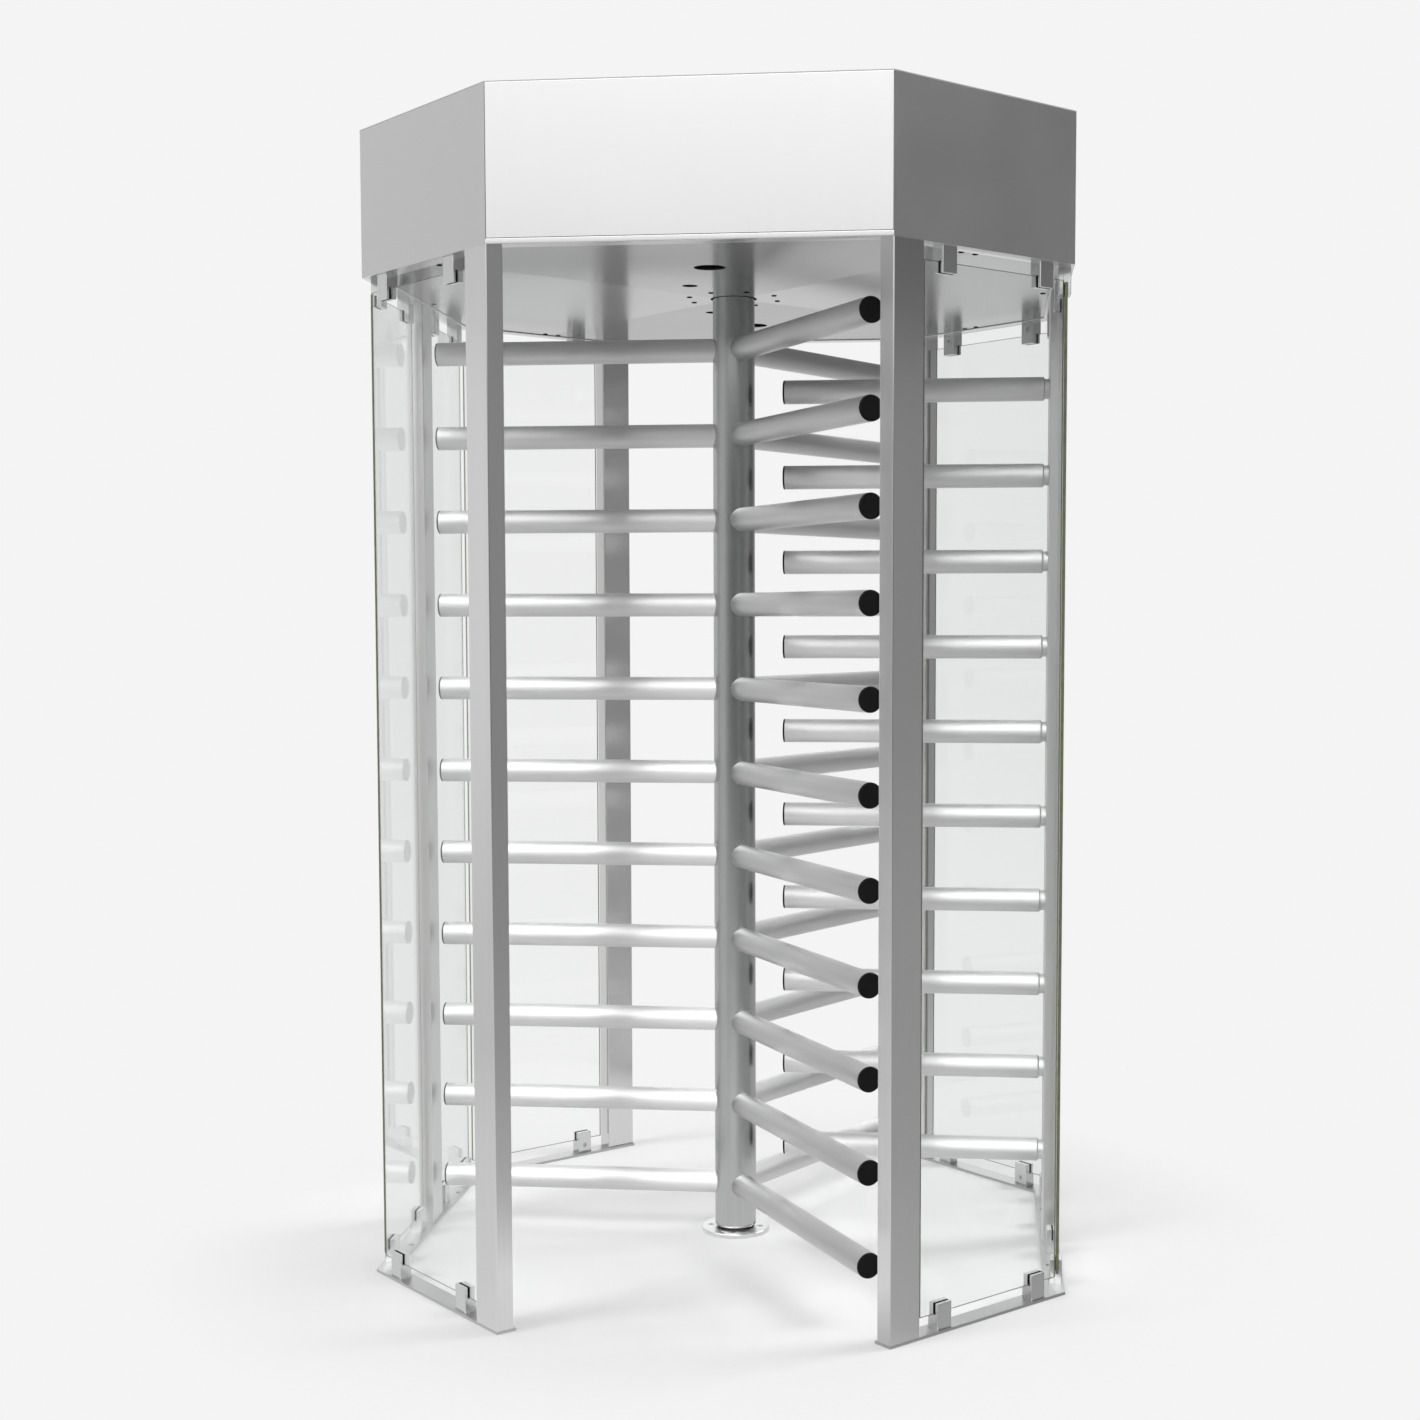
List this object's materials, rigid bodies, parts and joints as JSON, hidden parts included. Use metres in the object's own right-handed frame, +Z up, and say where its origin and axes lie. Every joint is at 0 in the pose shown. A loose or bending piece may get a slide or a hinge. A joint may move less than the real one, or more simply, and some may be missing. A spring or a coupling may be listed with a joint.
{
  "type": "full height turnstile",
  "caption": "Full-height security turnstile: steel header, posts and glass panels round a central column with three wings of bars that turn between a fixed comb.",
  "frame": {"origin": "on the floor, at the rotor's axis, which is the middle of the plan", "axes": "+Z up, -Y out of the front opening, +X towards the fixed comb"},
  "size_m": [1.4, 1.416, 2.3],
  "materials": {
    "brushed_sheet": "fine vertical brushing",
    "ceiling_sheet": "brushed, half gloss",
    "post_steel": "fine vertical brushing",
    "base_steel": "satin",
    "bar_steel": "brushed along the bar",
    "column_steel": "brushed, satin",
    "clamp_steel": "satin with polished chamfers",
    "black_plastic": "smooth black",
    "rubber": "matte",
    "clear_glass": "clear with polished edges",
    "screw_steel": "polished",
    "bearing_bronze": "turned",
    "frame_paint": "grey paint",
    "machined_steel": "machined",
    "solenoid_paint": "black paint"
  },
  "bodies": {
    "frame": {"base_plate_left": "base_steel", "base_plate_right": "base_steel", "bearing_housing": "machined_steel", "cable_inlet": "rubber", "cap_screws": "screw_steel", "ceiling_front": "ceiling_sheet", "ceiling_lamps": "black_plastic", "ceiling_left": "ceiling_sheet", "ceiling_rear": "ceiling_sheet", "ceiling_right": "ceiling_sheet", "clamp_bodies": "clamp_steel", "clamp_gaskets": "rubber", "clamp_plates": "clamp_steel", "clamp_screws": "screw_steel", "comb_bars": "bar_steel", "comb_caps": "black_plastic", "control_box": "frame_paint", "drive_plate": "machined_steel", "foot_flange": "base_steel", "foot_screws": "screw_steel", "glass_corner_panes": "clear_glass", "glass_side_panes": "clear_glass", "header_cover_front": "brushed_sheet", "header_cover_rear": "brushed_sheet", "header_frame": "frame_paint", "header_panel_front_left": "brushed_sheet", "header_panel_front_right": "brushed_sheet", "header_panel_left": "brushed_sheet", "header_panel_rear_left": "brushed_sheet", "header_panel_rear_right": "brushed_sheet", "header_panel_right": "brushed_sheet", "header_sills": "brushed_sheet", "lever_springs": "machined_steel", "lock_supports": "machined_steel", "post_front_left": "post_steel", "post_front_right": "post_steel", "post_rear_left": "post_steel", "post_rear_right": "post_steel", "post_side_left": "post_steel", "post_side_right": "post_steel", "power_supply": "black_plastic", "presence_sensors": "black_plastic", "roof_plate": "brushed_sheet", "sheet_screws": "screw_steel", "solenoids": "solenoid_paint", "thrust_ring": "bearing_bronze", "top_bearing": "machined_steel"},
    "rotor": {"rotor_column": "column_steel", "wing_a": "bar_steel", "wing_b": "bar_steel", "wing_c": "bar_steel", "wing_caps": "black_plastic", "foot_bush": "bearing_bronze", "drive_shaft": "machined_steel", "index_disc": "machined_steel", "shaft_nut": "machined_steel"},
    "lever_right": {"lock_lever_right": "machined_steel"},
    "lever_left": {"lock_lever_left": "machined_steel"},
    "plunger_right": {"plunger_right": "machined_steel"},
    "plunger_left": {"plunger_left": "machined_steel"}
  },
  "joints": [
    {"name": "rotor_spin", "type": "hinge", "parent": "frame", "child": "rotor", "pos_m": [0, 0, 0], "axis": [0, 0, 1], "continuous": true},
    {"name": "lever_right_swing", "type": "hinge", "parent": "frame", "child": "lever_right", "pos_m": [0.125, 0.132, 2.111], "axis": [0, 0, 1], "range_deg": [-14, 0], "stiffness_Nm_per_rad": 0.5, "springref_deg": 11.46},
    {"name": "lever_left_swing", "type": "hinge", "parent": "frame", "child": "lever_left", "pos_m": [-0.125, 0.132, 2.111], "axis": [0, 0, 1], "range_deg": [0, 14], "stiffness_Nm_per_rad": 0.5, "springref_deg": -11.46},
    {"name": "plunger_right_pull", "type": "slide", "parent": "frame", "child": "plunger_right", "axis": [0, -1, 0], "range_m": [0, 0.009]},
    {"name": "plunger_left_pull", "type": "slide", "parent": "frame", "child": "plunger_left", "axis": [0, -1, 0], "range_m": [0, 0.009]}
  ],
  "couplings": [
    {"joint": "plunger_right_pull", "follows": "lever_right_swing", "m_per_rad": -0.034},
    {"joint": "plunger_left_pull", "follows": "lever_left_swing", "m_per_rad": 0.034}
  ]
}
